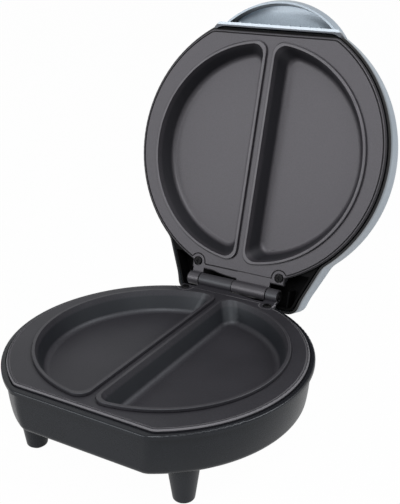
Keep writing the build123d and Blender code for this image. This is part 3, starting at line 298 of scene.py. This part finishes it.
class Finish(Nodes):
    """A material under construction: its node tree and its main shader."""

    def __init__(self, name, constants=None):
        self.material = bpy.data.materials.new(name)
        self.material.use_nodes = True
        super().__init__(self.material.node_tree)
        self.shader = self.tree.nodes["Principled BSDF"]
        for socket, value in (constants or {}).items():
            self.give(self.shader.inputs[socket], value)

    def place(self):
        """Object coordinates, in metres."""
        return self.node("ShaderNodeTexCoord", output="Object")

    def noise(self, scale, detail, roughness=0.5, vector=None):
        """Cloudy noise with about scale lumps a metre."""
        place = vector or self.place()
        inputs = {"Vector": place, "Scale": scale, "Detail": detail, "Roughness": roughness}
        return self.node("ShaderNodeTexNoise", {"noise_dimensions": "3D"}, inputs)

    def cells(self, scale):
        """Distance to the nearest of scattered points, about scale of them a metre."""
        settings = {"voronoi_dimensions": "3D", "feature": "F1"}
        return self.node("ShaderNodeTexVoronoi", settings, {"Vector": self.place(), "Scale": scale})

    def ramp(self, value, *stops):
        """A grey ramp through its stops."""
        return self.node("ShaderNodeValToRGB", {"stops": stops}, {"Fac": value})

    def blend(self, factor, first, second):
        """A colour between two."""
        settings = {"data_type": "RGBA", "blend_type": "MIX"}
        return self.node("ShaderNodeMix", settings, {0: factor, 6: first, 7: second}, output=2)

    def tint(self, factor, low, high):
        """The shader's colour, from low to high with the factor."""
        tone = self.blend(factor, tuple(low), tuple(high))
        self.give(self.shader.inputs["Base Color"], tone)
        return tone

    def roughen(self, level):
        self.give(self.shader.inputs["Roughness"], level)

    def bump(self, height, distance, strength):
        """Relief of a height field, distance metres deep."""
        inputs = {"Height": height, "Distance": distance, "Strength": strength}
        self.give(self.shader.inputs["Normal"], self.node("ShaderNodeBump", None, inputs))

    def along(self, origin, direction):
        """How far a point lies from a place, measured along a direction."""
        settings = {"operation": "DOT_PRODUCT"}
        inputs = {0: self.place(), 1: tuple(direction)}
        distance = self.node("ShaderNodeVectorMath", settings, inputs, output="Value")
        return distance - origin.dot(direction)

    def past(self, value, edge, blur=BLUR):
        """One where a value is beyond an edge, nothing before it."""
        return ((value - edge) / blur).clamped()

    def short_of(self, value, edge, blur=BLUR):
        """One where a value is before an edge, nothing beyond it."""
        return ((edge - value) / blur).clamped()

    def between(self, value, low, high, blur=BLUR):
        """One where a value lies between two levels, nothing outside them."""
        return self.past(value, low, blur) * self.short_of(value, high, blur)


# Finishes

def nonstick_coating(settings, name, face, normal, front, painted_line_tone, gloss, gloss_tint):
    """Dark grey coating: mottle and fine grain, painted shade on the pocket walls, a painted highlight
    along the bead crests, and a painted line round the plate, a highlight on the lower plate and shade on
    the upper.
    """
    finish = Finish(name, {"Specular IOR Level": gloss, "Specular Tint": gloss_tint})
    mottle = finish.noise(COATING.mottle_scale, COATING.detail)
    grain = finish.noise(1.0 / settings.coating_grain, COATING.detail, COATING.grain_gain)
    mixed = mottle * COATING.mottle_share + grain * COATING.grain_share
    shade = finish.ramp(mixed, *COATING.stops)
    coat = finish.blend(shade, tuple(settings.coating_low), tuple(settings.coating_high))
    height = finish.along(face, normal)
    # Painted highlight: the coating is paler along the beads' crests, in patches broken up by noise, and a
    # little smoother there
    crest_foot = COATING.crest_start * BEAD_HEIGHT
    crest = finish.past(height, crest_foot, COATING.crest_span * BEAD_HEIGHT)
    crest_breakup = finish.noise(COATING.crest_highlight_scale, COATING.detail)
    crest_highlight = crest * finish.ramp(crest_breakup, *COATING.crest_highlight_stops)
    # Painted shade: the coating darkens on the pocket walls
    steep = finish.between(height, WALL_FOOT, WALL_HEAD, WALL_BLUR)
    coat = finish.blend(steep * COATING.wall_shade_share, coat, tuple(settings.painted_wall_shade))
    tone = finish.blend(crest_highlight * COATING.crest_highlight_share, coat, tuple(settings.painted_crest_highlight))
    # The line round the plate takes a painted colour: a painted highlight on the lower plate, painted shade
    # on the upper
    across = finish.along(face, RIGHT)
    ahead = finish.along(face, front)
    radius = (across * across + ahead * ahead).root()
    rim = finish.past(radius, LINE_INSIDE_R).greater(finish.past(ahead, LINE_INSIDE_FRONT))
    line = rim * finish.between(height, -LINE_DEPTH, -LINE_TOP)
    finish.give(finish.shader.inputs["Base Color"], finish.blend(line, tone, tuple(painted_line_tone)))
    uneven = COATING.roughness + COATING.rough_grain * grain + COATING.rough_mottle * mottle
    finish.roughen(uneven - COATING.smooth_crest * crest_highlight + COATING.rough_line * line)
    finish.bump(grain, COATING.relief, COATING.strength)
    return finish.material


def silver_paint(settings):
    """Silver-grey paint with fine flakes: a black rim and a darker band beside it of painted shade, a dark
    line of painted shade round the recess, and a bar with a painted highlight along its upper edge and
    painted shade along its lower edge.
    """
    finish = Finish("silver_paint", {"Coat Roughness": SILVER.coat_roughness})
    flake = finish.noise(1.0 / settings.silver_flake, SILVER.flake_detail, SILVER.flake_gain)
    drift = finish.noise(SILVER.drift_scale, SILVER.drift_detail)
    shade = finish.ramp(flake * SILVER.flake_share + drift * SILVER.drift_share, *SILVER.stops)
    paint = finish.blend(shade, tuple(settings.silver_low), tuple(settings.silver_high))
    depth = finish.along(LID_FACE, -LID_NORMAL)
    # Painted shade: the silver darkens towards the lid's rim
    clear = finish.past(depth, RIM_SHADE_DEPTH, SHADED_DEPTH)
    paint = finish.blend(clear, tuple(settings.silver_painted_shade), paint)
    reach = finish.along(HINGE_PLACE, LID_FRONT)
    # Painted shade: the rim is black, without metallic or coat, and rougher
    bare = finish.short_of(depth, RIM_SHADE_DEPTH) * finish.short_of(reach, BAR_REACH)
    # Painted shade: a dark ring round the handle's recess
    aside = finish.along(HINGE_PLACE, RIGHT)
    onward = reach - HANDLE_CENTRE_REACH
    spread = (aside * aside + onward * onward).root()
    before = finish.short_of(depth, RECESS_SHADE_DEPTH)
    ring = finish.between(spread, RECESS_SHADE_INSIDE, RECESS_SHADE_OUTSIDE)
    recess_shade = ring * finish.past(reach, BAR_END) * before
    # Painted highlight along the bar's upper edge and painted shade along its lower edge
    near = finish.short_of(depth, BAR_DEPTH)
    lower = finish.between(reach, BAR_REACH, BAR_MIDDLE) * near
    upper = finish.between(reach, BAR_MIDDLE, BAR_END + BLUR) * near
    paint = finish.blend(upper, paint, tuple(settings.bar_painted_highlight))
    paint = finish.blend(lower, paint, tuple(settings.bar_painted_shade))
    paint = finish.blend(recess_shade, paint, tuple(settings.rim_and_recess_painted_shade))
    paint = finish.blend(bare, paint, tuple(settings.rim_and_recess_painted_shade))
    finish.give(finish.shader.inputs["Base Color"], paint)
    finish.give(finish.shader.inputs["Metallic"], SILVER.metallic * (1.0 - bare))
    finish.give(finish.shader.inputs["Coat Weight"], SILVER.coat * (1.0 - bare))
    uneven = SILVER.roughness + SILVER.rough_flake * flake + SILVER.rough_drift * drift
    finish.roughen(uneven + SILVER.rough_rim_shade * bare)
    ripple = finish.noise(SILVER.ripple_scale, SILVER.ripple_detail)
    finish.bump(ripple, SILVER.relief, SILVER.strength)
    return finish.material


def black_moulding(settings, name):
    """Semi-gloss black plastic: faint cloudiness, fine scuffs and a little waviness."""
    finish = Finish(name, {"Specular IOR Level": BLACK.specular, "Specular Tint": BLACK.specular_tint})
    cloud = finish.noise(BLACK.cloud_scale, BLACK.cloud_detail, BLACK.gain)
    fine = finish.noise(BLACK.fine_scale, BLACK.fine_detail, BLACK.gain)
    shade = finish.ramp(cloud * BLACK.cloud_share + fine * BLACK.fine_share, *EVEN_STOPS)
    finish.tint(shade, settings.housing_low, settings.housing_high)
    finish.roughen(settings.housing_roughness + BLACK.rough_cloud * cloud + BLACK.rough_fine * fine)
    finish.bump(cloud * BLACK.bump_cloud + fine * BLACK.bump_fine, BLACK.relief, BLACK.strength)
    return finish.material


def matt_moulding(name, low, high, roughness, scale=700.0, specular=0.4):
    """A matt moulded, woven or fired surface with an even fine texture."""
    finish = Finish(name, {"Specular IOR Level": specular})
    fine = finish.noise(scale, MATT.detail, MATT.gain)
    finish.tint(finish.ramp(fine, *EVEN_STOPS), low, high)
    finish.roughen(roughness + MATT.rough_fine * fine)
    finish.bump(fine, MATT.relief, MATT.strength)
    return finish.material


def plated_metal(name, low, high, roughness, metallic=1.0):
    """Plated or bare metal with fine drawing lines and dull patches."""
    finish = Finish(name, {"Metallic": metallic})
    inputs = {"Vector": finish.place(), "Scale": METAL.stretch}
    stretched = finish.node("ShaderNodeMapping", None, inputs)
    lines = finish.noise(METAL.line_scale, METAL.detail, METAL.line_gain, stretched)
    patches = finish.noise(METAL.patch_scale, METAL.detail)
    shade = finish.ramp(patches * METAL.patch_share + lines * METAL.line_share, *EVEN_STOPS)
    finish.tint(shade, low, high)
    finish.roughen(roughness + METAL.rough_patch * patches + METAL.rough_line * lines)
    finish.bump(lines, METAL.relief, METAL.strength)
    return finish.material


def coloured_lens(name, tone, glow):
    """A clear coloured lens with a rippled inside."""
    constants = {
        "Roughness": LENS.roughness,
        "Coat Weight": LENS.coat,
        "Coat Roughness": LENS.coat_roughness,
        "Emission Strength": glow,
    }
    finish = Finish(name, constants)
    ripple = finish.cells(LENS.ripple_scale)
    deep = [LENS.deep_share * level for level in tone]
    lit = finish.tint(finish.ramp(ripple, *LENS.stops), deep, tone)
    finish.give(finish.shader.inputs["Emission Color"], lit)
    finish.bump(ripple, LENS.relief, LENS.strength)
    return finish.material


def white_floor(settings):
    """A pale floor that shows almost white to the camera, paler in gloss, and keeps a soft shadow."""
    constants = {"Base Color": tuple(settings.floor_colour), "Roughness": FLOOR_ROUGHNESS}
    finish = Finish("pale_floor", constants)
    seen = finish.node("ShaderNodeLightPath", output="Is Camera Ray")
    mirrored = finish.node("ShaderNodeLightPath", output="Is Glossy Ray")
    clear = finish.node("ShaderNodeLightPath", output="Is Transmission Ray")
    in_view = (seen + clear).lesser(1.0) * settings.floor_white
    factor = in_view + mirrored * settings.mirrored_level * FLOOR_MIRRORED_SHARE
    white = finish.node("ShaderNodeEmission", None, {"Color": (1.0, 1.0, 1.0), "Strength": 1.0})
    plain = Value(finish, finish.shader.outputs[0])
    mixed = finish.node("ShaderNodeMixShader", None, {0: factor.lesser(1.0), 1: plain, 2: white})
    finish.give(finish.tree.nodes["Material Output"].inputs["Surface"], mixed)
    return finish.material


def dress(names, material):
    """Gives nodes of the frame one finish."""
    for name in names:
        slots = frame["nodes"][name].data.materials
        slots.clear()
        slots.append(material)


# Operators

class OMELETTE_OT_housing(bpy.types.Operator):
    """Finish the base housing, its feet and pads and the cord gland"""

    bl_idname = "omelette.housing"
    bl_label = "Base Housing"

    def execute(self, context):
        settings = context.scene.omelette_finishes
        corners = ("front_left", "front_right", "rear_left", "rear_right")
        dress(["base_housing"], black_moulding(settings, "black_housing"))
        dress(["foot_" + corner for corner in corners], black_moulding(settings, "black_feet"))
        rubber = matt_moulding(
            "pad_rubber", low=(0.018, 0.018, 0.018), high=(0.035, 0.034, 0.033), roughness=0.75
        )
        dress(["foot_pad_" + corner for corner in corners], rubber)
        gland = matt_moulding(
            "gland_plastic", low=(0.014, 0.014, 0.015), high=(0.028, 0.028, 0.03), roughness=0.42
        )
        dress(["cord_gland"], gland)
        return {"FINISHED"}


class OMELETTE_OT_plates(bpy.types.Operator):
    """Coat both cooking plates"""

    bl_idname = "omelette.plates"
    bl_label = "Cooking Plates"

    def execute(self, context):
        settings = context.scene.omelette_finishes
        lower = nonstick_coating(
            settings, "lower_coating", BASE_FACE, UP, FRONT, settings.painted_line_highlight,
            gloss=0.55, gloss_tint=(0.88, 0.94, 1.0),
        )
        upper = nonstick_coating(
            settings, "upper_coating", LID_FACE, LID_NORMAL, LID_FRONT, settings.painted_line_shade,
            gloss=0.85, gloss_tint=(0.96, 0.94, 1.0),
        )
        dress(["lower_plate"], lower)
        dress(["upper_plate"], upper)
        return {"FINISHED"}


class OMELETTE_OT_lid(bpy.types.Operator):
    """Paint the lid and finish its black inner frame"""

    bl_idname = "omelette.lid"
    bl_label = "Lid"

    def execute(self, context):
        settings = context.scene.omelette_finishes
        dress(["lid_shell"], silver_paint(settings))
        frame_black = matt_moulding(
            "black_frame", settings.frame_low, settings.frame_high, roughness=0.6, specular=0.10
        )
        dress(["lid_frame"], frame_black)
        return {"FINISHED"}


class OMELETTE_OT_hinge(bpy.types.Operator):
    """Blacken the hinge pin, its clip and the plates' screws"""

    bl_idname = "omelette.hinge"
    bl_label = "Hinge and Screws"

    def execute(self, context):
        settings = context.scene.omelette_finishes
        black = plated_metal(
            "blackened_steel", settings.blackened_low, settings.blackened_high, roughness=0.42
        )
        dress(["hinge_pin", "hinge_pin_clip", "lower_plate_screws", "upper_plate_screws"], black)
        plated = plated_metal("plated_steel", settings.steel_low, settings.steel_high, roughness=0.28)
        names = (
            "lower_post_screws", "upper_post_screws", "lower_strap_screws", "upper_strap_screws",
            "foot_screws", "reflector_screws", "lamp_board_screws", "lower_straps", "upper_straps",
        )
        dress(names, plated)
        return {"FINISHED"}


class OMELETTE_OT_lamps(bpy.types.Operator):
    """Colour the lamps, their lenses and their board"""

    bl_idname = "omelette.lamps"
    bl_label = "Indicator Lamps"

    def execute(self, context):
        settings = context.scene.omelette_finishes
        dress(["power_lens"], coloured_lens("power_lens", settings.red_lens, glow=0.25))
        dress(["ready_lens"], coloured_lens("ready_lens", settings.green_lens, glow=0.15))
        glass = coloured_lens("lamp_glass", tone=(0.92, 0.76, 0.60), glow=0.0)
        dress(["power_lamp", "ready_lamp"], glass)
        board = matt_moulding(
            "board_laminate", low=(0.22, 0.17, 0.07), high=(0.36, 0.29, 0.14), roughness=0.45, scale=260.0
        )
        dress(["lamp_board"], board)
        return {"FINISHED"}


class OMELETTE_OT_works(bpy.types.Operator):
    """Finish the heaters, reflectors, thermostat, fuse, terminal block and leads"""

    bl_idname = "omelette.works"
    bl_label = "Heaters and Wiring"

    def execute(self, context):
        sheath = plated_metal(
            "heater_sheath", low=(0.10, 0.095, 0.09), high=(0.24, 0.225, 0.21), roughness=0.5, metallic=0.8
        )
        dress(["lower_heating_element", "upper_heating_element"], sheath)
        sheet = plated_metal(
            "reflector_sheet", low=(0.60, 0.60, 0.61), high=(0.82, 0.82, 0.83), roughness=0.22
        )
        dress(["lower_reflector", "upper_reflector"], sheet)
        sensor = matt_moulding(
            "sensor_body", low=(0.55, 0.52, 0.45), high=(0.72, 0.69, 0.61), roughness=0.6
        )
        dress(["thermostat", "thermal_fuse"], sensor)
        terminal = matt_moulding(
            "terminal_plastic", low=(0.66, 0.65, 0.60), high=(0.80, 0.79, 0.74), roughness=0.42
        )
        dress(["terminal_block"], terminal)
        sleeve = matt_moulding(
            "lead_sleeve", low=(0.42, 0.38, 0.30), high=(0.62, 0.57, 0.48), roughness=0.8, scale=1800.0
        )
        dress(["element_leads"], sleeve)
        return {"FINISHED"}


class OMELETTE_OT_stage(bpy.types.Operator):
    """Set the camera, the pale floor and the studio light"""

    bl_idname = "omelette.stage"
    bl_label = "Stage"

    def execute(self, context):
        scene = context.scene
        settings = scene.omelette_stage
        scene.view_settings.view_transform = "Standard"
        self.add_camera(scene, settings)
        self.add_floor(scene, settings)
        self.light_world(scene, settings)
        for name, place, side in LAMPS:
            self.add_lamp(scene, name, place, side, getattr(settings, name + "_power"))
        return {"FINISHED"}

    def add_camera(self, scene, settings):
        camera = bpy.data.cameras.new("camera")
        camera.lens = settings.camera_lens
        camera.clip_start = CLIP_NEAR
        camera.clip_end = CLIP_FAR
        holder = bpy.data.objects.new("camera", camera)
        scene.collection.objects.link(holder)
        holder.location = settings.camera_place
        holder.rotation_euler = (math.pi / 2 + settings.camera_pitch, 0.0, settings.camera_yaw)
        scene.camera = holder

    def add_floor(self, scene, settings):
        side = settings.floor_side
        signs = ((-1, -1), (1, -1), (1, 1), (-1, 1))
        corners = [(across * side, along * side, 0.0) for across, along in signs]
        mesh = bpy.data.meshes.new("floor")
        mesh.from_pydata(corners, [], [(0, 1, 2, 3)])
        mesh.materials.append(white_floor(settings))
        floor = bpy.data.objects.new("floor", mesh)
        scene.collection.objects.link(floor)

    def light_world(self, scene, settings):
        """A plain room level, raised to white where the camera sees past the floor."""
        world = bpy.data.worlds.new("studio")
        scene.world = world
        world.use_nodes = True
        nodes = Nodes(world.node_tree)
        seen = nodes.node("ShaderNodeLightPath", output="Is Camera Ray")
        mirrored = nodes.node("ShaderNodeLightPath", output="Is Glossy Ray")
        clear = nodes.node("ShaderNodeLightPath", output="Is Transmission Ray")
        plain = settings.room_level
        in_view = (1.0 - plain) * (seen + clear).lesser(1.0)
        level = plain + in_view + (settings.mirrored_level - plain) * mirrored
        background = world.node_tree.nodes["Background"]
        nodes.give(background.inputs["Color"], (1.0, 1.0, 1.0))
        nodes.give(background.inputs["Strength"], level)

    def add_lamp(self, scene, name, place, side, watts):
        lamp = bpy.data.lights.new(name, "AREA")
        lamp.size = side
        lamp.energy = watts
        holder = bpy.data.objects.new(name, lamp)
        scene.collection.objects.link(holder)
        holder.location = place
        aim = Vector(STAGE_MIDDLE) - Vector(place)
        holder.rotation_euler = aim.to_track_quat("-Z", "Y").to_euler()


class OMELETTE_PT_panel(bpy.types.Panel):
    """The omelette maker's finishes and stage"""

    bl_idname = "OMELETTE_PT_panel"
    bl_label = "Omelette Maker"
    bl_space_type = "VIEW_3D"
    bl_region_type = "UI"
    bl_category = "Omelette Maker"

    def draw(self, context):
        for operator in OPERATORS:
            self.layout.operator(operator.bl_idname)
        for settings in (context.scene.omelette_finishes, context.scene.omelette_stage):
            box = self.layout.box()
            for name in settings.__annotations__:
                box.prop(settings, name)


OPERATORS = (
    OMELETTE_OT_housing,
    OMELETTE_OT_plates,
    OMELETTE_OT_lid,
    OMELETTE_OT_hinge,
    OMELETTE_OT_lamps,
    OMELETTE_OT_works,
    OMELETTE_OT_stage,
)
CLASSES = (FinishSettings, StageSettings, *OPERATORS, OMELETTE_PT_panel)


def register():
    for kind in CLASSES:
        bpy.utils.register_class(kind)
    bpy.types.Scene.omelette_finishes = bpy.props.PointerProperty(type=FinishSettings)
    bpy.types.Scene.omelette_stage = bpy.props.PointerProperty(type=StageSettings)


def unregister():
    del bpy.types.Scene.omelette_stage
    del bpy.types.Scene.omelette_finishes
    for kind in reversed(CLASSES):
        bpy.utils.unregister_class(kind)


def main():
    register()
    for operator in OPERATORS:
        group, name = operator.bl_idname.split(".")
        getattr(getattr(bpy.ops, group), name)()


if __name__ == "__main__":
    main()
